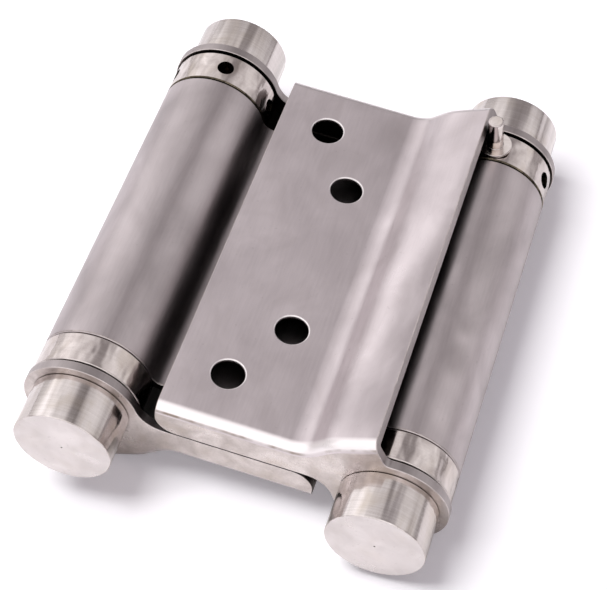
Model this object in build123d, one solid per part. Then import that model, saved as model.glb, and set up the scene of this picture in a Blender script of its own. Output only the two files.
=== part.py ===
from build123d import *
import math
import os

# Double action spring hinge, in millimetres.
# Two sprung barrels are joined by one rolled web, and each barrel carries one leaf.
# X runs across the barrels, Y along them and Z through the closed leaves.
# Everything is drawn about the middle of the web. The right barrel carries the upper leaf.
# Turned half a turn about Y, its pieces are those of the left barrel and the lower leaf.

# Leaves
leaf_length = 75.0            # over the outer faces of the ears
leaf_sheet = 1.6
leaf_gap = 4.0                # between the web and the closed leaf, for the screw heads
leaf_inset = 3.0              # from the other barrel to the leaf's free edge
bend_radius = 0.4             # inside the bend from leaf to ear
corner_radius = 3.6           # lower free corner of the ear plate
parting = 0.3                 # between the two leaves' ear plates

# Raised part of the leaf, which passes over the barrel
crease_reach = 15.2           # from the barrel's axis to the crease
edge_inset = 4.1              # from the barrel's axis to the raised edge
crest_clearance = 3.1         # raised edge's underside above the top of the tube
steep_angle = 45.0            # first rise, up from the crease
slope_angle = 27.5            # second rise, up to the edge
crease_radius = 5.0
knee_radius = 12.0

# Screw holes, on a zigzag
screw_hole = 5.5
screw_head = 7.6              # width of the countersink, on the inner side
outer_hole_inset = 8.9        # from the leaf's free edge
inner_hole_inset = 15.9
outer_hole_spacing = 55.0
inner_hole_spacing = 31.4

# Ears
ear_diameter = 19.7
neck_radius = 5.0             # below the ear plate, into the ear
shoulder_radius = 1.3         # above it, from the raised edge into the ear

# Web with its two barrels
barrel_spacing = 52.0
tube_diameter = 19.0
web_sheet = 1.6
web_bend_radius = 2.4         # outside face, where the web runs into a barrel
seam_angle = 6.0              # where the rolled sheet stops short of the web
tube_chamfer = 0.2            # round the outside of each tube end

# Collars at the ends of each barrel
fixed_collar_length = 5.6
tension_collar_length = 6.3
collar_chamfer = 0.2
spigot_length = 5.0
spigot_fit = 0.05             # fixed collar in the tube, on the radius
spigot_play = 0.15            # tension collar in the tube, on the radius
hairline = 0.1                # between the tube and the fixed collar
turning_gap = 0.25            # between the tube and the tension collar
washer_thickness = 0.4
washer_diameter = 14.0

# Tension pins and their holes
hole_count = 5
pin_hole = 3.0
pin_diameter = 2.7
pin_depth = 3.4               # below the collar's surface
pin_head_height = 6.4         # above it
pin_flange_diameter = 5.8
pin_flange_thickness = 0.5
pin_seat = 0.05               # below the flange
pin_touch = 0.1               # between the pin and the raised edge
left_collar_slack = 47.5      # degrees that the left pin stands short of its leaf

# Spindles and caps
spindle_diameter = 6.0
spindle_play = 0.15           # in the collars, on the radius
spindle_fit = 0.05            # in the ears and caps, on the radius
cap_diameter = 16.5
cap_length = 8.4
cap_round = 0.5
cap_chamfer = 0.25
cap_socket = 6.0              # how far the spindle reaches into the cap
centre_mark = 0.7             # width of the turning mark in the cap's face

# Springs
wire = 2.2                    # square
spring_clearance = 0.9        # between the coil and the tube
spring_turns = 12
runs_in_turn = 16             # straight runs that make up one turn of the coil
tang_diameter = 1.8
tang_length = 2.6
tang_play = 0.2               # round the tang, on the radius
spring_seat = 0.2             # between the spring and each collar

# Sizes that follow from those above
barrel_x = barrel_spacing / 2
tube_radius = tube_diameter / 2
tube_bore = tube_radius - web_sheet
face_height = web_sheet / 2 + leaf_gap + leaf_sheet
free_edge_x = -barrel_x + tube_radius + leaf_inset
crease_x = barrel_x - crease_reach
edge_x = barrel_x - edge_inset
edge_height = tube_radius + crest_clearance + leaf_sheet
ear_face = leaf_length / 2
ear_inner_face = ear_face - leaf_sheet
collar_end = ear_inner_face - washer_thickness
tube_front = -(collar_end - fixed_collar_length - hairline)
tube_back = collar_end - tension_collar_length - turning_gap
spring_front = tube_front + spigot_length
spring_back = tube_back - spigot_length
spring_radius = tube_bore - spring_clearance - wire / 2
pin_station = collar_end - tension_collar_length / 2
hole_pitch = 360 / hole_count

steep_slope = math.tan(math.radians(steep_angle))
upper_slope = math.tan(math.radians(slope_angle))
knee_x = (edge_height - upper_slope * edge_x - face_height + steep_slope * crease_x) / (steep_slope - upper_slope)
knee_height = face_height + steep_slope * (knee_x - crease_x)
steep_length = (knee_x - crease_x) / math.cos(math.radians(steep_angle))
# The two bends share the steep rise, so neither takes more than about half of it.
crease_bend = min(crease_radius, 0.5 * steep_length / math.tan(math.radians(steep_angle / 2)))
knee_bend = min(knee_radius, 0.45 * steep_length / math.tan(math.radians((steep_angle - slope_angle) / 2)))

half_turn = Rot(0, 180, 0)
on_right_barrel = Pos(barrel_x, 0, 0)
# The finished hinge is stored with the upper leaf's outer face at Z = 0.
to_leaf_face = Pos(0, 0, -face_height)


def section(*points):
    """A closed face in the cross-section, drawn with X across and Z up."""
    return make_face(Polyline(*points, close=True))


def corner(face, x, z):
    """The vertex of a cross-section nearest to a point."""
    return face.vertices().sort_by_distance((x, z))[0]


def along_y(face, start, end):
    """Extrudes a cross-section from start to end along Y."""
    return Pos(0, end, 0) * extrude(Plane.XZ * face, end - start)


def rod(radius, start, end):
    """A round bar on the barrel's axis, from start to end along Y."""
    return Pos(0, (start + end) / 2, 0) * Rot(90, 0, 0) * Cylinder(radius, end - start)


def turned(*points):
    """A turned piece on the barrel's axis, from (radius, Y) points."""
    return revolve(make_face(Polyline(*points, close=True)), Axis.Y)


def leaf_outline():
    """Ear plate seen from the end: leaf, raised part, neck and round ear."""
    slant = math.radians(slope_angle)
    drop = edge_height - ear_diameter / 2 + 1
    foot = (edge_x + drop * math.tan(slant), edge_height - drop)
    plate = section(
        (free_edge_x, parting / 2),
        (free_edge_x, face_height),
        (crease_x, face_height),
        (knee_x, knee_height),
        (edge_x, edge_height),
        foot,
        (barrel_x, parting / 2),
    )
    plate = fillet(corner(plate, crease_x, face_height), crease_bend)
    plate = fillet(corner(plate, knee_x, knee_height), knee_bend)
    plate = fillet(corner(plate, free_edge_x, parting / 2), corner_radius)
    outline = plate + Pos(barrel_x, 0) * Circle(ear_diameter / 2)
    neck = corner(outline, barrel_x - ear_diameter / 2, 0)
    outline = fillet(neck, neck_radius)
    above = [v for v in outline.vertices() if v.X > edge_x + 0.5 and v.Y > 1]
    return fillet(ShapeList(above).sort_by(Axis.X)[0], shoulder_radius)


def under_leaf():
    """Everything below the leaf's inner face, running past its free edges."""
    margin = 30.0
    below = section(
        (free_edge_x - margin, -2 * margin),
        (free_edge_x - margin, face_height),
        (crease_x, face_height),
        (knee_x, knee_height),
        (edge_x + margin, edge_height + margin * upper_slope),
        (edge_x + margin, -2 * margin),
    )
    below = fillet(corner(below, crease_x, face_height), crease_bend)
    below = fillet(corner(below, knee_x, knee_height), knee_bend)
    return offset(below, -leaf_sheet, kind=Kind.INTERSECTION)


def end_edges(solid, station, lowest, rightmost):
    """The edges of the leaf's face at both of its ends."""
    return [
        e
        for e in solid.edges()
        if abs(abs(e.center().Y) - station) < 0.01
        and e.center().Z > lowest - 0.01
        and e.center().X < rightmost
    ]


def screw_hole_places():
    """Centres of the four screw holes, as (x, y)."""
    outer_x = free_edge_x + outer_hole_inset
    inner_x = free_edge_x + inner_hole_inset
    return [
        (outer_x, -outer_hole_spacing / 2),
        (inner_x, -inner_hole_spacing / 2),
        (inner_x, inner_hole_spacing / 2),
        (outer_x, outer_hole_spacing / 2),
    ]


def make_leaf():
    """Pressed leaf: flat plate, raised part and two ears bent down at the ends."""
    block = along_y(leaf_outline(), -ear_face, ear_face)
    block = fillet(end_edges(block, ear_face, face_height, edge_x), bend_radius + leaf_sheet)
    inner_height = face_height - leaf_sheet
    hollow = along_y(under_leaf(), -ear_inner_face, ear_inner_face)
    hollow = fillet(end_edges(hollow, ear_inner_face, inner_height, edge_x + 30), bend_radius)
    leaf = block - hollow
    leaf -= on_right_barrel * rod(spindle_diameter / 2 + spindle_fit, -ear_face - 1, ear_face + 1)
    countersink_depth = (screw_head - screw_hole) / 2
    for x, y in screw_hole_places():
        leaf -= Pos(x, y, face_height - leaf_sheet / 2) * Cylinder(screw_hole / 2, leaf_sheet + 1)
        sink = Cone(screw_head / 2, screw_hole / 2, countersink_depth)
        leaf -= Pos(x, y, inner_height + countersink_depth / 2) * sink
    return leaf


def barrel_half():
    """Cross-section of the left half of the web, rolled up and over into its barrel."""
    half = web_sheet / 2
    rise = math.asin((half + web_bend_radius) / (tube_radius + web_bend_radius))
    bend_x = -barrel_x + (tube_radius + web_bend_radius) * math.cos(rise)
    bend_centre = (bend_x, half + web_bend_radius)
    rise_degrees = math.degrees(rise)
    roll = 360 - seam_angle - rise_degrees
    seam = math.radians(-seam_angle)
    turn = 90 - rise_degrees
    outside = CenterArc((-barrel_x, 0), tube_radius, rise_degrees, roll)
    inside = CenterArc((-barrel_x, 0), tube_bore, rise_degrees, roll)
    upper_bend = CenterArc(bend_centre, web_bend_radius, 270, -turn)
    lower_bend = CenterArc(bend_centre, web_bend_radius + web_sheet, 270, -turn)
    seam_line = Line(
        (-barrel_x + tube_radius * math.cos(seam), tube_radius * math.sin(seam)),
        (-barrel_x + tube_bore * math.cos(seam), tube_bore * math.sin(seam)),
    )
    top = Line((0, half), (bend_x, half))
    bottom = Line((0, -half), (bend_x, -half))
    middle = Line((0, half), (0, -half))
    return make_face([top, upper_bend, outside, seam_line, inside, lower_bend, bottom, middle])


def make_web():
    """One sheet rolled into both barrels, over the left one and under the right one."""
    half = along_y(barrel_half(), tube_front, tube_back)
    rims = [e for e in half.edges().filter_by(GeomType.CIRCLE) if abs(e.radius - tube_radius) < 0.01]
    half = chamfer(rims, tube_chamfer)
    return half + half_turn * half


def tang_hole(face, depth):
    """Hole for a spring's end, from a spigot's end face into the collar."""
    radius = tang_diameter / 2 + tang_play
    return Pos(spring_radius, 0, 0) * rod(radius, min(face, face + depth), max(face, face + depth))


def make_fixed_collar():
    """Front collar, pressed into the tube. It holds the spring's still end."""
    radius = tube_radius
    spigot = tube_bore - spigot_fit
    bore = spindle_diameter / 2 + spindle_play
    inner_end = tube_front - hairline
    collar = turned(
        (bore, -collar_end),
        (radius - collar_chamfer, -collar_end),
        (radius, -collar_end + collar_chamfer),
        (radius, inner_end - collar_chamfer),
        (radius - collar_chamfer, inner_end),
        (spigot, inner_end),
        (spigot, spring_front),
        (bore, spring_front),
    )
    return collar - tang_hole(spring_front, -tang_length - tang_play)


def collar_hole(angle):
    """Radial hole in the tension collar, at an angle from +X towards +Z."""
    reach = tube_radius - (pin_depth + 0.2)
    length = tube_radius + 1 - reach
    return Rot(0, -angle, 0) * Pos(reach + length / 2, pin_station, 0) * Rot(0, 90, 0) * Cylinder(pin_hole / 2, length)


def make_tension_collar(first_hole):
    """Back collar, turning in the tube. It winds the spring and takes the pin."""
    radius = tube_radius
    spigot = tube_bore - spigot_play
    bore = spindle_diameter / 2 + spindle_play
    inner_end = tube_back + turning_gap
    collar = turned(
        (bore, collar_end),
        (radius - collar_chamfer, collar_end),
        (radius, collar_end - collar_chamfer),
        (radius, inner_end + collar_chamfer),
        (radius - collar_chamfer, inner_end),
        (spigot, inner_end),
        (spigot, spring_back),
        (bore, spring_back),
    )
    collar -= tang_hole(spring_back, tang_length + tang_play)
    for k in range(hole_count):
        collar -= collar_hole(first_hole + k * hole_pitch)
    return collar


def make_pin(angle):
    """Tension pin: round stem with a flange that seats on the collar."""
    tip = tube_radius - pin_depth
    top = tube_radius + pin_head_height
    seat = tube_radius + pin_seat
    stem = pin_diameter / 2
    flange = pin_flange_diameter / 2
    bevel = 0.3
    pin = turned(
        (0, tip),
        (stem - bevel, tip),
        (stem, tip + bevel),
        (stem, seat),
        (flange, seat),
        (flange, seat + pin_flange_thickness),
        (stem, seat + pin_flange_thickness),
        (stem, top - bevel / 2),
        (stem - bevel / 2, top),
        (0, top),
    )
    return Pos(0, pin_station, 0) * Rot(0, -angle, 0) * Rot(0, 0, -90) * pin


def pin_angle():
    """Angle at which the right pin bears on the lower corner of the raised edge."""
    slant = math.radians(slope_angle)
    x = edge_x + leaf_sheet * math.sin(slant) - barrel_x
    z = edge_height - leaf_sheet * math.cos(slant)
    reach = math.hypot(x, z)
    return math.degrees(math.atan2(z, x) - math.asin((pin_diameter / 2 + pin_touch) / reach))


def make_spindle():
    """Bar through both ears and collars into the caps."""
    radius = spindle_diameter / 2
    end = ear_face + cap_socket
    bevel = 0.4
    return turned(
        (0, -end),
        (radius - bevel, -end),
        (radius, -end + bevel),
        (radius, end - bevel),
        (radius - bevel, end),
        (0, end),
    )


def make_cap():
    """Back cap: turned, with a rounded rim, a centre mark and a blind socket."""
    radius = cap_diameter / 2
    top = ear_face + cap_length
    socket = spindle_diameter / 2 + spindle_fit
    socket_end = ear_face + cap_socket + 0.2
    profile = section(
        (socket, ear_face),
        (radius - cap_chamfer, ear_face),
        (radius, ear_face + cap_chamfer),
        (radius, top),
        (centre_mark / 2, top),
        (0, top - centre_mark / 2),
        (0, socket_end),
        (socket, socket_end),
    )
    profile = fillet(corner(profile, radius, top), cap_round)
    return revolve(profile, Axis.Y)


def make_washer():
    """Thrust washer between the back ear and the tension collar."""
    bore = spindle_diameter / 2 + spindle_play
    radius = washer_diameter / 2
    return turned((bore, collar_end), (radius, collar_end), (radius, ear_inner_face), (bore, ear_inner_face))


def make_spring():
    """Torsion spring of square wire, with a straight round tang at each end."""
    front = spring_front + spring_seat + wire / 2
    back = spring_back - spring_seat - wire / 2
    height = back - front
    runs = spring_turns * runs_in_turn
    places = []
    for k in range(runs + 1):
        turn = 2 * math.pi * k / runs_in_turn
        places.append((spring_radius * math.cos(turn), spring_radius * math.sin(turn), height * k / runs))
    path = Polyline(*places)
    section_plane = Plane(path @ 0, x_dir=(1, 0, 0), z_dir=path % 0)
    coil = sweep(section_plane * Rectangle(wire, wire), path=path, transition=Transition.RIGHT)
    tang = wire / 2 + spring_seat + tang_length
    overlap = wire / 4
    straight = Cylinder(tang_diameter / 2, tang + overlap)
    first = Pos(spring_radius, 0, (overlap - tang) / 2) * straight
    last = Pos(spring_radius, 0, height - (overlap - tang) / 2) * straight
    spring = coil + first + last
    return Pos(0, front, 0) * Rot(-90, 0, 0) * spring


def to_front(piece):
    """The matching piece at the front end of the same barrel."""
    return mirror(piece, Plane.XZ)


def hinge_nodes():
    """Every piece of the closed hinge, by node name."""
    angle = pin_angle()
    left_angle = angle - left_collar_slack
    back_cap = make_cap()
    back_washer = make_washer()
    right_side = {
        "spindle": make_spindle(),
        "spring": make_spring(),
        "fixed_collar": make_fixed_collar(),
        "front_cap": to_front(back_cap),
        "back_cap": back_cap,
        "front_washer": to_front(back_washer),
        "back_washer": back_washer,
    }
    nodes = {"middle_web": make_web(), "upper_leaf": make_leaf()}
    nodes["lower_leaf"] = half_turn * nodes["upper_leaf"]
    for name, piece in right_side.items():
        nodes["right_" + name] = on_right_barrel * piece
        nodes["left_" + name] = half_turn * on_right_barrel * piece
    nodes["right_tension_collar"] = on_right_barrel * make_tension_collar(angle)
    nodes["right_tension_pin"] = on_right_barrel * make_pin(angle)
    nodes["left_tension_collar"] = half_turn * on_right_barrel * make_tension_collar(left_angle)
    nodes["left_tension_pin"] = half_turn * on_right_barrel * make_pin(left_angle)
    return nodes


os.makedirs("parts", exist_ok=True)
for node, shape in hinge_nodes().items():
    export_step(to_leaf_face * shape, f"parts/{node}.step")
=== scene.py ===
# A double action spring hinge in satin stainless steel, lying closed on a white table.
# Lengths are in metres. X runs across the barrels, Y along them and Z out of the upper leaf.
import math

import bmesh
import bpy
from mathutils import Matrix, Vector


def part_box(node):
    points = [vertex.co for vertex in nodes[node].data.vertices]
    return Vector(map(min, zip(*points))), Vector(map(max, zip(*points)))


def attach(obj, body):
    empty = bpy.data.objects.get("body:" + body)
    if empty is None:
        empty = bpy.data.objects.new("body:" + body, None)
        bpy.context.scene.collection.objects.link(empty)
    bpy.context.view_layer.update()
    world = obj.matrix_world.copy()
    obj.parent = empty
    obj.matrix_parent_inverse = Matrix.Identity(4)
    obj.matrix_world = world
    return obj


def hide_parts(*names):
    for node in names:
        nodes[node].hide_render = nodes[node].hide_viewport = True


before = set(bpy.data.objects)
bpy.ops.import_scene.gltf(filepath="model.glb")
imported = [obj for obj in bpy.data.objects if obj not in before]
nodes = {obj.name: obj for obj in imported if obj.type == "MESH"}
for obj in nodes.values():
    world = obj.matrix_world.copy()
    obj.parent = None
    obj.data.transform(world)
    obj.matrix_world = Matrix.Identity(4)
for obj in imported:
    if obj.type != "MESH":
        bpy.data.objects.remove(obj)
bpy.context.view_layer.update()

scene = bpy.context.scene
print("frame loaded:", len(nodes), "nodes")

# The hinge's middle, halfway between the barrels, lies below the leaf's outer face.
lowTube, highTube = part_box("middle_web")
lowCap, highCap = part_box("right_back_cap")
hingeMiddle = Vector((0, 0, (lowTube.z + highTube.z) / 2))
barrelX = (lowCap.x + highCap.x) / 2


# Camera

cameraValues = {
    "azimuth": 11.13,      # degrees, 0 looks along +Y
    "elevation": 53.34,
    "roll": 7.78,
    "distance": 0.3285,
    "lens": 113.75,        # millimetres, as is the sensor's width
    "sensor": 36,
    "shift": (0.0004, -0.0306),
    "clip": (0.01, 10),
}


def makeCamera(v):
    azimuth, elevation = math.radians(v["azimuth"]), math.radians(v["elevation"])
    back = Vector((
        math.sin(azimuth) * math.cos(elevation),
        -math.cos(azimuth) * math.cos(elevation),
        math.sin(elevation),
    ))
    data = bpy.data.cameras.new("camera")
    data.lens, data.sensor_width = v["lens"], v["sensor"]
    data.shift_x, data.shift_y = v["shift"]
    data.clip_start, data.clip_end = v["clip"]
    camera = bpy.data.objects.new("camera", data)
    scene.collection.objects.link(camera)
    aim = (-back).to_track_quat("-Z", "Y").to_matrix()
    turn = aim @ Matrix.Rotation(math.radians(v["roll"]), 3, "Z")
    camera.matrix_world = Matrix.Translation(hingeMiddle + back * v["distance"]) @ turn.to_4x4()
    scene.camera = camera


makeCamera(cameraValues)
print("camera placed")


# Materials

def newMaterial(name):
    material = bpy.data.materials.new(name)
    material.use_nodes = True
    tree = material.node_tree
    return material, tree, tree.nodes["Principled BSDF"]


def addNode(tree, kind, **values):
    node = tree.nodes.new(kind)
    for key, value in values.items():
        if key in node.inputs:
            node.inputs[key].default_value = value
        else:
            setattr(node, key, value)
    return node


def noiseAlong(tree, scale, detail, stretch, warp=0):
    # Noise in the hinge's own space, squeezed or stretched along each axis.
    coords = addNode(tree, "ShaderNodeTexCoord")
    mapping = addNode(tree, "ShaderNodeMapping")
    mapping.inputs["Scale"].default_value = stretch
    noise = addNode(tree, "ShaderNodeTexNoise", Scale=scale, Detail=detail, Distortion=warp)
    tree.links.new(coords.outputs["Object"], mapping.inputs["Vector"])
    tree.links.new(mapping.outputs["Vector"], noise.inputs["Vector"])
    return noise.outputs["Fac"]


def ranged(tree, source, low, high, fromLow=0.3, fromHigh=0.7):
    # The input's range is a noise's unless given: most of a noise lies between 0.3 and 0.7.
    node = addNode(tree, "ShaderNodeMapRange")
    node.inputs["From Min"].default_value = fromLow
    node.inputs["From Max"].default_value = fromHigh
    node.inputs["To Min"].default_value = low
    node.inputs["To Max"].default_value = high
    tree.links.new(source, node.inputs["Value"])
    return node.outputs["Result"]


def math2(tree, operation, first, second):
    node = addNode(tree, "ShaderNodeMath", operation=operation)
    for socket, value in zip(node.inputs, (first, second)):
        if isinstance(value, (int, float)):
            socket.default_value = value
        else:
            tree.links.new(value, socket)
    return node.outputs["Value"]


def mixed(tree, factor, first, second, blend="MIX"):
    node = addNode(tree, "ShaderNodeMix", data_type="RGBA", blend_type=blend)
    for key, value in (("Factor", factor), ("A", first), ("B", second)):
        socket = node.inputs[key]
        if isinstance(value, tuple):
            socket.default_value = (*value, 1)
        elif isinstance(value, (int, float)):
            socket.default_value = value
        else:
            tree.links.new(value, socket)
    return node.outputs["Result"]


spotValues = {
    "core": 0.2,       # the even part, as a share of the spot
    "scale": 170,
    "detail": 3,
    "stretch": (1, 0.6, 1),
    "warp": 0.8,
    "faintest": 0.55,
}


def spotAt(x, y, width, length, strength, colour):
    return {"centre": (x, y, 0), "size": (width, length, 1), "strength": strength, "colour": colour}


def nearSpot(tree, spot, v):
    # A soft dark patch round one place, broken up by noise: partly a smudge, partly painted shade.
    coords = addNode(tree, "ShaderNodeTexCoord")
    offset = addNode(tree, "ShaderNodeVectorMath", operation="SUBTRACT")
    offset.inputs[1].default_value = spot["centre"]
    tree.links.new(coords.outputs["Object"], offset.inputs[0])
    squeezed = addNode(tree, "ShaderNodeVectorMath", operation="DIVIDE")
    squeezed.inputs[1].default_value = spot["size"]
    tree.links.new(offset.outputs["Vector"], squeezed.inputs[0])
    length = addNode(tree, "ShaderNodeVectorMath", operation="LENGTH")
    tree.links.new(squeezed.outputs["Vector"], length.inputs[0])
    near = ranged(tree, length.outputs["Value"], spot["strength"], 0, v["core"], 1)
    near.node.interpolation_type = "SMOOTHSTEP"
    noise = noiseAlong(tree, v["scale"], v["detail"], v["stretch"], v["warp"])
    return math2(tree, "MULTIPLY", near, ranged(tree, noise, v["faintest"], 1))


def towardsEnd(tree):
    # How far out along Y a point lies, the same at both ends.
    coords = addNode(tree, "ShaderNodeTexCoord")
    parts = addNode(tree, "ShaderNodeSeparateXYZ")
    tree.links.new(coords.outputs["Object"], parts.inputs["Vector"])
    return math2(tree, "ABSOLUTE", parts.outputs["Y"], 0)


def alongBendLine(tree, line):
    # A faint dark brown line along the bends at both ends of a leaf, just inside its ends.
    off = math2(tree, "ABSOLUTE", math2(tree, "SUBTRACT", towardsEnd(tree), line["y"]), 0)
    near = ranged(tree, off, line["strength"], 0, line["core"], line["half"])
    noise = noiseAlong(tree, line["scale"], line["detail"], (1, 1, 1))
    return math2(tree, "MULTIPLY", near, ranged(tree, noise, line["faintest"], 1, *line["broken"]))


def steel(name, v):
    # Satin steel: fine grain, broad smudges from handling, small pits, and painted shade that darkens
    # it in gaps.
    material, tree, shader = newMaterial(name)
    grain = noiseAlong(tree, v["grainScale"], v["grainDetail"], v["grainStretch"])
    smudge = noiseAlong(tree, v["smudgeScale"], v["smudgeDetail"], v["smudgeStretch"], v["smudgeWarp"])
    stain = noiseAlong(tree, v["stainScale"], v["stainDetail"], v["stainStretch"], v["stainWarp"])
    pits = noiseAlong(tree, v["pitScale"], v["pitDetail"], (1, 1, 1))
    grainTone = ranged(tree, grain, -v["grainTone"], v["grainTone"])
    tone = math2(tree, "ADD", ranged(tree, smudge, 0, 1), grainTone)
    colour = mixed(tree, tone, v["dark"], v["light"])
    colour = mixed(tree, ranged(tree, stain, 0, v["stainAmount"], *v["stainFrom"]), colour, v["stain"])
    colour = mixed(tree, ranged(tree, pits, 0, v["pitAmount"], *v["pitFrom"]), colour, v["pit"])
    for spot in v["spots"]:
        colour = mixed(tree, nearSpot(tree, spot, spotValues), colour, spot["colour"])
    # Painted highlight, partly rubbed bright: the bends at both ends of a leaf.
    if v["burnishAndHighlight"]:
        end = towardsEnd(tree)
        rubbedAndHighlight = ranged(tree, end, 0, 1, *v["burnishAndHighlight"]["begins"])
        rubbedAndHighlight = math2(tree, "MULTIPLY", rubbedAndHighlight, ranged(tree, end, 1, 0, *v["burnishAndHighlight"]["ends"]))
        colour = mixed(tree, rubbedAndHighlight, colour, v["burnishAndHighlight"]["colour"])
    if v["bendLine"]:
        colour = mixed(tree, alongBendLine(tree, v["bendLine"]), colour, v["bendLine"]["colour"])
    # Painted shade: the ambient occlusion darkens the colour in gaps, recesses and between parts.
    gap = addNode(tree, "ShaderNodeAmbientOcclusion", Distance=v["gapReach"], samples=v["gapSamples"])
    openness = ranged(tree, gap.outputs["AO"], 0, 1, v["gapFrom"], v["gapTo"])
    colour = mixed(tree, 1.0, colour, mixed(tree, openness, v["gapShadeTint"], (1, 1, 1)), "MULTIPLY")
    tree.links.new(colour, shader.inputs["Base Color"])
    rough = ranged(tree, smudge, v["roughness"][1], v["roughness"][0])
    rough = math2(tree, "ADD", rough, ranged(tree, grain, -v["grainRough"], v["grainRough"]))
    tree.links.new(rough, shader.inputs["Roughness"])
    fine = addNode(tree, "ShaderNodeBump", Strength=v["grainBump"], Distance=v["grainDepth"])
    tree.links.new(grain, fine.inputs["Height"])
    wave = addNode(tree, "ShaderNodeBump", Strength=v["waveBump"], Distance=v["waveDepth"])
    waves = noiseAlong(tree, v["waveScale"], v["waveDetail"], v["waveStretch"])
    tree.links.new(waves, wave.inputs["Height"])
    tree.links.new(wave.outputs["Normal"], fine.inputs["Normal"])
    tree.links.new(fine.outputs["Normal"], shader.inputs["Normal"])
    shader.inputs["Metallic"].default_value = 1
    if v["turnedFace"]:
        around = addNode(tree, "ShaderNodeTangent", direction_type="RADIAL", axis="Y")
        tree.links.new(around.outputs["Tangent"], shader.inputs["Tangent"])
        shader.inputs["Anisotropic"].default_value = v["turnedFace"]
    return material


leafEnd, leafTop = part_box("upper_leaf")[1].yz
topDepth = 0.0005      # what lies less than this below the leaf's top is its raised part
raisedEdge = max(p.co.x for p in nodes["upper_leaf"].data.vertices if p.co.z > leafTop - topDepth)
bendRadius = 0.002     # outside, along both ends of a leaf
sheetValues = {
    "dark": (0.53, 0.475, 0.49),
    "light": (0.675, 0.61, 0.627),
    "roughness": (0.29, 0.38),
    "grainScale": 2600,
    "grainDetail": 4,
    "grainStretch": (1, 0.07, 1),
    "grainTone": 0.14,
    "grainRough": 0.03,
    "grainBump": 0.08,
    "grainDepth": 0.0001,
    "smudgeScale": 95,
    "smudgeDetail": 4,
    "smudgeStretch": (1, 0.7, 1),
    "smudgeWarp": 0.6,
    "stain": (0.47, 0.415, 0.42),
    "stainScale": 160,
    "stainDetail": 3,
    "stainStretch": (1, 0.6, 1),
    "stainWarp": 1.2,
    "stainAmount": 0.35,
    "stainFrom": (0.5, 0.72),
    "pit": (0.34, 0.30, 0.30),
    "pitScale": 1300,
    "pitDetail": 2,
    "pitAmount": 0.25,
    "pitFrom": (0.68, 0.76),
    "waveScale": 110,
    "waveDetail": 1,
    "waveStretch": (1, 0.5, 1),
    "waveBump": 0.09,
    "waveDepth": 0.001,
    # Dark patches: the long one along the raised edge is painted shade; the others are partly smudges,
    # partly painted shade.
    "spots": [
        spotAt(raisedEdge, -0.012, 0.0030, 0.056, 0.9, (0.33, 0.29, 0.30)),
        spotAt(0.0205, -0.010, 0.0050, 0.024, 0.8, (0.31, 0.272, 0.28)),
        spotAt(0.0190, -0.029, 0.0065, 0.011, 0.8, (0.33, 0.29, 0.30)),
        spotAt(0.0065, 0.030, 0.0055, 0.007, 0.4, (0.40, 0.355, 0.36)),
        spotAt(-0.001, 0.022, 0.007, 0.006, 0.3, (0.42, 0.375, 0.38)),
    ],
    # The bends at both ends are lighter, from the flat to just short of the ends: partly rubbed bright
    # by the die, partly a painted highlight.
    "burnishAndHighlight": {
        "begins": (leafEnd - bendRadius, leafEnd - bendRadius * 0.6),
        "ends": (leafEnd - bendRadius * 0.15, leafEnd),
        "colour": (0.86, 0.815, 0.82),
    },
    "bendLine": {
        "y": leafEnd - bendRadius * 0.09,
        "half": 0.00013,
        "core": 0.000052,      # full strength within this of the line
        "strength": 0.8,
        "colour": (0.17, 0.12, 0.07),
        "scale": 260,
        "detail": 2,
        "faintest": 0.1,
        "broken": (0.38, 0.6),
    },
    # Painted shade: where less than gapTo of the surroundings is open, the steel's colour darkens
    # towards the gap's shade tint.
    "gapReach": 0.014,
    "gapSamples": 8,
    "gapFrom": 0.10,
    "gapTo": 0.50,
    "gapShadeTint": (0.035, 0.026, 0.022),
    "turnedFace": 0,       # anisotropy of a face turned in rings
}
tubeValues = dict(
    sheetValues,
    dark=(0.40, 0.358, 0.365),
    light=(0.555, 0.50, 0.51),
    roughness=(0.33, 0.44),
    smudgeScale=80,
    waveStretch=(1, 0.8, 1),
    waveBump=0.1,
    spots=[],
    burnishAndHighlight=None,
    bendLine=None,
)
# Dark patches on the barrels: partly smudges, partly painted shade.
tubeSpots = [
    spotAt(0.0293, -0.0135, 0.003, 0.005, 0.65, (0.27, 0.235, 0.24)),
    spotAt(0.0296, -0.0062, 0.0026, 0.0036, 0.55, (0.27, 0.235, 0.24)),
    spotAt(0.0235, -0.004, 0.003, 0.016, 0.4, (0.30, 0.265, 0.27)),
    spotAt(-0.0285, 0.012, 0.004, 0.012, 0.4, (0.34, 0.30, 0.305)),
]
# Inner faces painted near black: painted shade in the hinge's gaps, not the steel's own colour.
innerShadeValues = dict(
    tubeValues,
    dark=(0.05, 0.043, 0.04),
    light=(0.11, 0.095, 0.09),
    stain=(0.03, 0.025, 0.022),
    stainAmount=0.8,
)
# Cut edges: darker, partly the duller sheared steel, partly painted shade.
cutEdgeShadeValues = dict(tubeValues, dark=(0.28, 0.25, 0.25), light=(0.44, 0.395, 0.395))
plateValues = dict(
    tubeValues,
    dark=(0.45, 0.40, 0.38),
    light=(0.70, 0.64, 0.62),
    roughness=(0.26, 0.38),
    smudgeScale=230,
    smudgeStretch=(1, 1, 1),
    stain=(0.50, 0.43, 0.37),
    stainAmount=0.45,
    waveBump=0.15,
)
# Rounded edges: lighter and smoother, partly worn bright, partly a painted highlight; less painted
# shade in gaps.
wornHighlightValues = dict(
    tubeValues,
    dark=(0.48, 0.43, 0.42),
    light=(0.66, 0.60, 0.59),
    roughness=(0.26, 0.38),
    smudgeScale=600,
    gapFrom=0.0,
    gapTo=0.25,
)
rimValues = dict(wornHighlightValues, dark=(0.16, 0.13, 0.115), light=(0.46, 0.41, 0.38))
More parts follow.
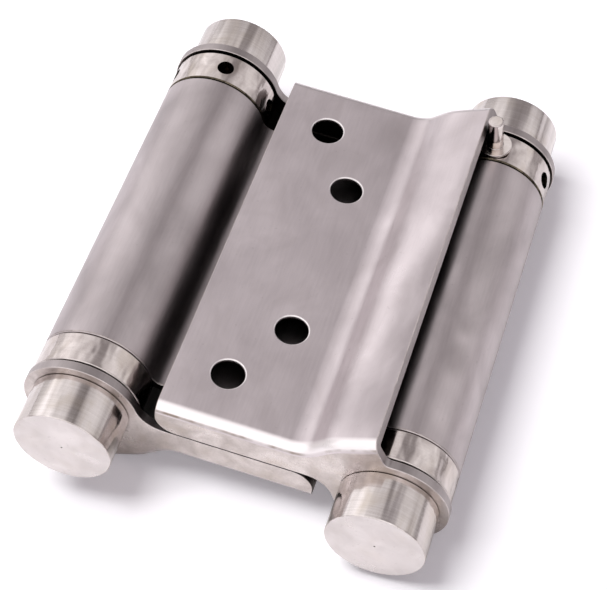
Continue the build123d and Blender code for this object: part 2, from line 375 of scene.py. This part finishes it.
# Screw hole rims: near white, partly burnished by the punch, partly a painted highlight; almost no
# painted shade.
punchedHighlightValues = dict(
    wornHighlightValues,
    dark=(0.70, 0.66, 0.665),
    light=(0.84, 0.795, 0.80),
    stainAmount=0,
    gapTo=0.06,
)
# Collar chamfers: painted near black as painted shade, with a few lighter specks as painted glints.
collarRimShadeGlintValues = dict(
    wornHighlightValues,
    dark=(0.0, 0.0, 0.0),
    light=(0.20, 0.165, 0.12),
    smudgeScale=700,
    stainAmount=0,
)
turnedValues = dict(
    tubeValues,
    dark=(0.42, 0.378, 0.36),
    light=(0.78, 0.725, 0.715),
    roughness=(0.12, 0.20),
    grainScale=3000,
    grainStretch=(0.04, 1, 0.04),
    grainTone=0.12,
    grainBump=0.06,
    smudgeScale=310,
    smudgeStretch=(1, 0.07, 1),
    stain=(0.50, 0.43, 0.36),
    stainAmount=0.5,
    waveScale=360,
    waveStretch=(1, 0.1, 1),
    waveBump=0.4,
    gapShadeTint=(0.13, 0.085, 0.055),
)
capFaceValues = dict(
    turnedValues,
    dark=(0.64, 0.592, 0.585),
    light=(0.74, 0.692, 0.685),
    roughness=(0.27, 0.33),
    grainTone=0.05,
    grainBump=0.0,
    smudgeScale=240,
    smudgeStretch=(1, 1, 1),
    stainAmount=0.15,
    waveBump=0.0,
    turnedFace=0.8,
)
collarValues = dict(
    turnedValues,
    dark=(0.49, 0.435, 0.42),
    light=(0.70, 0.64, 0.62),
    smudgeScale=520,
    smudgeStretch=(1, 0.5, 1),
    pitScale=1800,
    waveScale=500,
    waveStretch=(1, 0.5, 1),
    waveBump=0.25,
)
pinValues = dict(
    turnedValues,
    dark=(0.58, 0.52, 0.49),
    light=(0.78, 0.72, 0.70),
    smudgeStretch=(1, 1, 1),
    waveBump=0.1,
)
washerValues = dict(
    collarValues,
    dark=(0.20, 0.165, 0.14),
    light=(0.34, 0.29, 0.25),
    gapShadeTint=(0.25, 0.18, 0.13),
)
springValues = dict(innerShadeValues, dark=(0.14, 0.12, 0.11), light=(0.24, 0.22, 0.21))

sheetSteel = steel("satinSheet", sheetValues)
tubeSteel = steel("satinTube", dict(tubeValues, spots=tubeSpots))
innerShadeSteel = steel("innerFacePaintedShade", innerShadeValues)
cutEdgeShadeSteel = steel("cutEdgePaintedShade", cutEdgeShadeValues)
plateSteel = steel("endPlate", plateValues)
wornHighlightSteel = steel("wornEdgeHighlight", wornHighlightValues)
punchedHighlightSteel = steel("punchedRimHighlight", punchedHighlightValues)
rimSteel = steel("barrelRim", rimValues)
collarRimShadeGlintSteel = steel("collarRimPaintedShadeGlints", collarRimShadeGlintValues)
capSteel = steel("turnedCap", turnedValues)
capFaceSteel = steel("turnedCapFace", capFaceValues)
collarSteel = steel("turnedCollar", collarValues)
pinSteel = steel("turnedPin", pinValues)
washerSteel = steel("oiledWasher", washerValues)
springSteel = steel("springWire", springValues)
print("materials made")


# Pieces that keep the solid's own shape: hidden ones and washers. The others are replaced below.

plainNodes = {
    "spindle": collarSteel,
    "spring": springSteel,
    "washer": washerSteel,
}
for name, node in nodes.items():
    finish = next((metal for part, metal in plainNodes.items() if part in name), sheetSteel)
    finishes = node.data.materials
    for index in range(len(finishes)):
        finishes[index] = finish
    if not len(finishes):
        finishes.append(finish)
print("plain pieces given their finish")


# Pieces with their edges rounded over

# "edge" is the round's width; a piece with none keeps the solid's own chamfers.
roundedPieces = {
    "middle_web": {
        "body": "web",
        "slot": "web_steel",
        "edge": 0.00018,
        "finish": tubeSteel,
        "rim": rimSteel,
    },
    "upper_leaf": {"body": "upper_leaf", "slot": "leaf_steel", "edge": 0.00028, "finish": sheetSteel},
    "lower_leaf": {"body": "lower_leaf", "slot": "leaf_steel", "edge": 0.00028, "finish": sheetSteel},
}
pairedPieces = {
    "fixed_collar": {"body": "web", "slot": "collar_steel", "edge": 0.0001, "finish": collarSteel},
    "tension_collar": {"body": "{}_collar", "slot": "collar_steel", "edge": 0, "finish": collarSteel},
    "tension_pin": {"body": "{}_pin", "slot": "pin_steel", "edge": 0.00012, "finish": pinSteel},
}
for kind, v in pairedPieces.items():
    for side in ("right", "left"):
        roundedPieces[f"{side}_{kind}"] = dict(v, body=v["body"].format(side))
roundedValues = {
    "segments": 3,
    "sharpest": 32,         # degrees: edges sharper than this get a round
    "smoothest": 30,
    "weld": 1e-6,
    "flatWithin": 0.002,    # radians between faces that are one flat
    "weight": 80,
}
holeValues = {
    "round": 0.00029,
    "segments": 4,
    "longestEdge": 0.0006,
    "wallRise": 0.05,       # a normal's Z share, at most on the hole's wall and at least on the flat
    "flatRise": 0.999,
}
collarChamfer = (0.3, 0.95)     # a normal's Y share on the collar's chamfered rims
leafFaces = {"inner": 2, "cut": 3, "plate": 4, "punched": 5}     # after the sheet and its worn rounds
leafFaceValues = {
    "endDepth": 0.00144,    # the end plates lie within this of the leaf's ends
    # The rest are shares of a normal: how far a face leans that way.
    "inwards": 0.5,
    "underside": 0.3,
    "plate": 0.995,
    "across": 0.05,
    "raisedEdge": 0.8,
    "freeEdge": 0.95,
}


def addPiece(name, mesh, v):
    piece = bpy.data.objects.new(name, mesh)
    scene.collection.objects.link(piece)
    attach(piece, v["body"])
    return piece


def makeCollar(name, v):
    # A collar keeps its shape; its chamfered rims are painted near black as painted shade, with a few
    # lighter specks as painted glints.
    mesh = nodes[name].data.copy()
    mesh.materials.clear()
    mesh.materials.append(v["finish"])
    mesh.materials.append(collarRimShadeGlintSteel)
    least, most = collarChamfer
    for face in mesh.polygons:
        face.material_index = 1 if least < abs(face.normal.y) < most else 0
    piece = addPiece(name + "Turned", mesh, v)
    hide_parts(name)


def roundHoles(form, v):
    # The screw holes' outer rims are rounded further than the other edges, as the punch leaves them.
    rims = []
    for edge in form.edges:
        rises = sorted(abs(face.normal.z) for face in edge.link_faces)
        isRim = len(rises) == 2 and rises[0] < v["wallRise"] and rises[1] > v["flatRise"]
        isShort = edge.calc_length() < v["longestEdge"]
        onFlat = abs(edge.verts[0].co.y) < leafEnd - 2 * bendRadius
        if isRim and isShort and onFlat:
            rims.append(edge)
    ends = list({end for edge in rims for end in edge.verts})
    bmesh.ops.bevel(
        form,
        geom=rims + ends,
        offset=v["round"],
        offset_type="OFFSET",
        segments=v["segments"],
        profile=0.5,
        affect="EDGES",
        material=leafFaces["punched"],
    )


def makeRounded(name, v):
    # The solid's own faces, joined into whole flats, with a small round along every sharp edge.
    mesh = nodes[name].data.copy()
    form = bmesh.new()
    form.from_mesh(mesh)
    bmesh.ops.remove_doubles(form, verts=form.verts, dist=roundedValues["weld"])
    bmesh.ops.dissolve_limit(
        form,
        angle_limit=roundedValues["flatWithin"],
        verts=form.verts[:],
        edges=form.edges[:],
    )
    for face in form.faces:
        face.smooth = True
        face.material_index = 0
    if "leaf" in name:
        roundHoles(form, holeValues)
    mesh.materials.clear()
    form.to_mesh(mesh)
    form.free()
    mesh.materials.append(v["finish"])
    # The rounds get the worn edges' painted highlight unless the piece names a rim finish of its own.
    mesh.materials.append(v.get("rim", wornHighlightSteel))
    piece = addPiece(name + "Rounded", mesh, v)
    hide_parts(name)
    bevel = piece.modifiers.new("roundedEdges", "BEVEL")
    bevel.width, bevel.segments = v["edge"], roundedValues["segments"]
    bevel.limit_method, bevel.angle_limit = "ANGLE", math.radians(roundedValues["sharpest"])
    bevel.material = 1
    mesh.set_sharp_from_angle(angle=math.radians(roundedValues["smoothest"]))
    weighted = piece.modifiers.new("evenShading", "WEIGHTED_NORMAL")
    weighted.keep_sharp = False
    weighted.weight = roundedValues["weight"]
    return piece


def giveLeafFaces(piece, up, v):
    # Inner faces, cut edges and end plates get finishes of their own, told apart by the way they face;
    # the inner faces are painted near black as painted shade, and the cut edges darker, partly as
    # painted shade.
    mesh = piece.data
    for finish in (innerShadeSteel, cutEdgeShadeSteel, plateSteel, punchedHighlightSteel):
        mesh.materials.append(finish)
    for face in mesh.polygons:
        if face.material_index == leafFaces["punched"]:
            continue
        n, c = face.normal, face.center
        inwards = n.y * (1 if c.y > 0 else -1) < -v["inwards"]
        onEnd = abs(c.y) > leafEnd - v["endDepth"]
        across = abs(n.y) < v["across"]
        if inwards or (n.z * up < -v["underside"] and not onEnd):
            face.material_index = leafFaces["inner"]
        elif onEnd and abs(n.y) > v["plate"]:
            face.material_index = leafFaces["plate"]
        elif across and (onEnd or n.x * up > v["raisedEdge"] or n.x * up < -v["freeEdge"]):
            face.material_index = leafFaces["cut"]


for name, v in roundedPieces.items():
    if not v["edge"]:
        makeCollar(name, v)
        continue
    piece = makeRounded(name, v)
    if "leaf" in name:
        giveLeafFaces(piece, 1 if name == "upper_leaf" else -1, leafFaceValues)
print("rounded pieces made:", len(roundedPieces))


# Turned caps

capValues = {
    "round": 0.0002,
    "roundSteps": 4,
    "baseChamfer": 0.00012,
    "socketRadius": 0.00305,
    "socketDepth": 0.0062,
    "markRadius": 0.00016,
    "ringShare": 0.6,      # an extra ring on the end face, as a share of the radius
    "sameHeight": 1e-5,
    "steps": 128,
}


def latheAlongY(name, centreX, profile, steps):
    # A turned piece from (radius, y) points, closed on the axis at both ends or round a bore.
    form = bmesh.new()
    rings = []
    for radius, y in profile:
        if radius == 0:
            rings.append([form.verts.new((centreX, y, hingeMiddle.z))])
            continue
        ring = []
        for k in range(steps):
            turn = 2 * math.pi * k / steps
            x = centreX + radius * math.cos(turn)
            z = hingeMiddle.z + radius * math.sin(turn)
            ring.append(form.verts.new((x, y, z)))
        rings.append(ring)
    for first, second in zip(rings, rings[1:] + rings[:1]):
        if len(first) == len(second) == 1:
            continue
        for k in range(steps):
            following = (k + 1) % steps
            corners = [first[k % len(first)], first[following % len(first)]]
            corners += [second[following % len(second)], second[k % len(second)]]
            form.faces.new(list(dict.fromkeys(corners)))
    bmesh.ops.recalc_face_normals(form, faces=form.faces)
    for face in form.faces:
        face.smooth = True
    mesh = bpy.data.meshes.new(name)
    form.to_mesh(mesh)
    form.free()
    mesh.set_sharp_from_angle(angle=math.radians(roundedValues["smoothest"]))
    return mesh


def makeCap(name, body, v):
    low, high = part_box(name)
    outward = 1 if high.y > 0 else -1
    base, top = (low.y, high.y) if outward > 0 else (high.y, low.y)
    radius, centreX = (high.x - low.x) / 2, (low.x + high.x) / 2
    profile = [
        (0, base + outward * v["socketDepth"]),
        (v["socketRadius"], base + outward * v["socketDepth"]),
        (v["socketRadius"], base),
        (radius - v["baseChamfer"], base),
        (radius, base + outward * v["baseChamfer"]),
    ]
    for k in range(v["roundSteps"] + 1):
        turn = math.pi / 2 * k / v["roundSteps"]
        profile.append((
            radius - v["round"] * (1 - math.cos(turn)),
            top - outward * v["round"] * (1 - math.sin(turn)),
        ))
    profile.append((radius * v["ringShare"], top))
    profile.append((v["markRadius"], top))
    profile.append((0, top - outward * v["markRadius"]))
    mesh = latheAlongY(name + "Turned", centreX, profile, v["steps"])
    for finish in (capSteel, capFaceSteel, innerShadeSteel):
        mesh.materials.append(finish)
    for face in mesh.polygons:
        offAxis = math.hypot(face.center.x - centreX, face.center.z - hingeMiddle.z)
        belowTop = abs(face.center.y - top)
        # The centre mark's dimple is painted near black as painted shade.
        if belowTop < v["markRadius"] and offAxis < v["markRadius"]:
            face.material_index = 2
        elif belowTop < v["sameHeight"]:
            face.material_index = 1
    piece = addPiece(name + "Turned", mesh, {"body": body, "slot": "cap_steel"})
    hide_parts(name)


for side, leaf in (("right", "upper_leaf"), ("left", "lower_leaf")):
    for end in ("front", "back"):
        makeCap(f"{side}_{end}_cap", leaf, capValues)
print("caps turned")


# Table

tableValues = {
    "halfSize": 0.6,
    "gap": 0.00005,        # below the hinge
    "colour": (0.88, 0.87, 0.89),
    "roughness": 0.9,
    "tint": (1, 0.94, 1),
    "lift": 0.27,          # added for the camera, so that the table shows white
    "whiteFrom": 0.15,     # from here to there it fades to plain white
    "whiteTo": 0.45,
    "reflectedTint": (1, 0.93, 0.89),
    "reflectedLift": 0.2,  # the same in reflections
}


def makeTable(v):
    # The hinge lies on the lower leaf's raised edge and the right barrel's ears: the table is tilted.
    lowest = min((p.co for p in nodes["lower_leaf"].data.vertices), key=lambda co: co.z)
    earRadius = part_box("upper_leaf")[1].x - barrelX
    across, up = barrelX - lowest.x, hingeMiddle.z - lowest.z
    tilt = math.atan2(up, across) - math.asin(earRadius / math.hypot(across, up))
    half = v["halfSize"]
    corners = [(-half, -half, 0), (half, -half, 0), (half, half, 0), (-half, half, 0)]
    mesh = bpy.data.meshes.new("table")
    mesh.from_pydata(corners, [], [(0, 1, 2, 3)])
    table = bpy.data.objects.new("table", mesh)
    scene.collection.objects.link(table)
    place = Vector((lowest.x, 0, lowest.z - v["gap"]))
    table.matrix_world = Matrix.Translation(place) @ Matrix.Rotation(-tilt, 4, "Y")
    material, tree, shader = newMaterial("tableWhite")
    shader.inputs["Base Color"].default_value = (*v["colour"], 1)
    shader.inputs["Roughness"].default_value = v["roughness"]
    path = addNode(tree, "ShaderNodeLightPath")
    glossy, through = path.outputs["Is Glossy Ray"], path.outputs["Is Transmission Ray"]
    mirrored = math2(tree, "MULTIPLY", math2(tree, "MAXIMUM", glossy, through), v["reflectedLift"])
    coords = addNode(tree, "ShaderNodeTexCoord")
    away = addNode(tree, "ShaderNodeVectorMath", operation="LENGTH")
    tree.links.new(coords.outputs["Object"], away.inputs[0])
    lift = ranged(tree, away.outputs["Value"], v["lift"], 1, v["whiteFrom"], v["whiteTo"])
    direct = math2(tree, "MULTIPLY", path.outputs["Is Camera Ray"], lift)
    tint = mixed(tree, path.outputs["Is Camera Ray"], v["reflectedTint"], v["tint"])
    tree.links.new(tint, shader.inputs["Emission Color"])
    tree.links.new(math2(tree, "ADD", direct, mirrored), shader.inputs["Emission Strength"])
    mesh.materials.append(material)


makeTable(tableValues)
print("table laid under the hinge")


# Light

studioValues = {
    "room": (0.385, 0.357, 0.362),   # colour of the room where no panel stands
    "fill": (0.17, 0.155, 0.175),    # colour of the room on matt surfaces
    # Broad soft panels: azimuth from +Y towards +X, half angles of the even part and of the edge.
    "panels": {
        "left": {"azimuth": -54, "elevation": 40, "inner": 20, "outer": 42, "strength": 0.6},
        "leftLow": {"azimuth": -78, "elevation": 4, "inner": 25, "outer": 58, "strength": 0.45},
        "front": {"azimuth": -175, "elevation": 44, "inner": 46, "outer": 68, "strength": 0.95},
        "right": {"azimuth": 54, "elevation": 36, "inner": 8, "outer": 34, "strength": 0.62},
    },
}
lampValues = {
    "key": {"azimuth": -103, "elevation": 61, "distance": 0.8, "size": (0.46, 0.46), "power": 6.9},
}


def direction(azimuth, elevation):
    azimuth, elevation = math.radians(azimuth), math.radians(elevation)
    return Vector((
        math.sin(azimuth) * math.cos(elevation),
        math.cos(azimuth) * math.cos(elevation),
        math.sin(elevation),
    ))


def makeWorld(v):
    world = bpy.data.worlds.new("studio")
    scene.world = world
    world.use_nodes = True
    tree = world.node_tree
    background = tree.nodes["Background"]
    coords = addNode(tree, "ShaderNodeTexCoord")
    total = 0
    for panel in v["panels"].values():
        dot = addNode(tree, "ShaderNodeVectorMath", operation="DOT_PRODUCT")
        dot.inputs[1].default_value = direction(panel["azimuth"], panel["elevation"])
        tree.links.new(coords.outputs["Generated"], dot.inputs[0])
        edge = math.cos(math.radians(panel["outer"]))
        even = math.cos(math.radians(panel["inner"]))
        glow = ranged(tree, dot.outputs["Value"], 0, panel["strength"], edge, even)
        glow.node.interpolation_type = "SMOOTHSTEP"
        total = math2(tree, "ADD", glow, total)
    path = addNode(tree, "ShaderNodeLightPath")
    lit = addNode(tree, "ShaderNodeVectorMath", operation="ADD")
    lit.inputs[1].default_value = v["room"]
    tree.links.new(total, lit.inputs[0])
    shown = mixed(tree, path.outputs["Is Glossy Ray"], v["fill"], lit.outputs["Vector"])
    shown = mixed(tree, path.outputs["Is Camera Ray"], shown, (1, 1, 1))
    tree.links.new(shown, background.inputs["Color"])


def makeLamp(name, v):
    data = bpy.data.lights.new(name, "AREA")
    data.shape = "RECTANGLE"
    data.size, data.size_y = v["size"]
    data.energy = v["power"]
    lamp = bpy.data.objects.new(name, data)
    scene.collection.objects.link(lamp)
    lamp.visible_glossy = False      # the panels of the room give the reflections
    away = direction(v["azimuth"], v["elevation"])
    aim = (-away).to_track_quat("-Z", "Y").to_matrix().to_4x4()
    lamp.matrix_world = Matrix.Translation(hingeMiddle + away * v["distance"]) @ aim


makeWorld(studioValues)
for name, values in lampValues.items():
    makeLamp(name, values)
scene.view_settings.view_transform = "Standard"
print("light set")
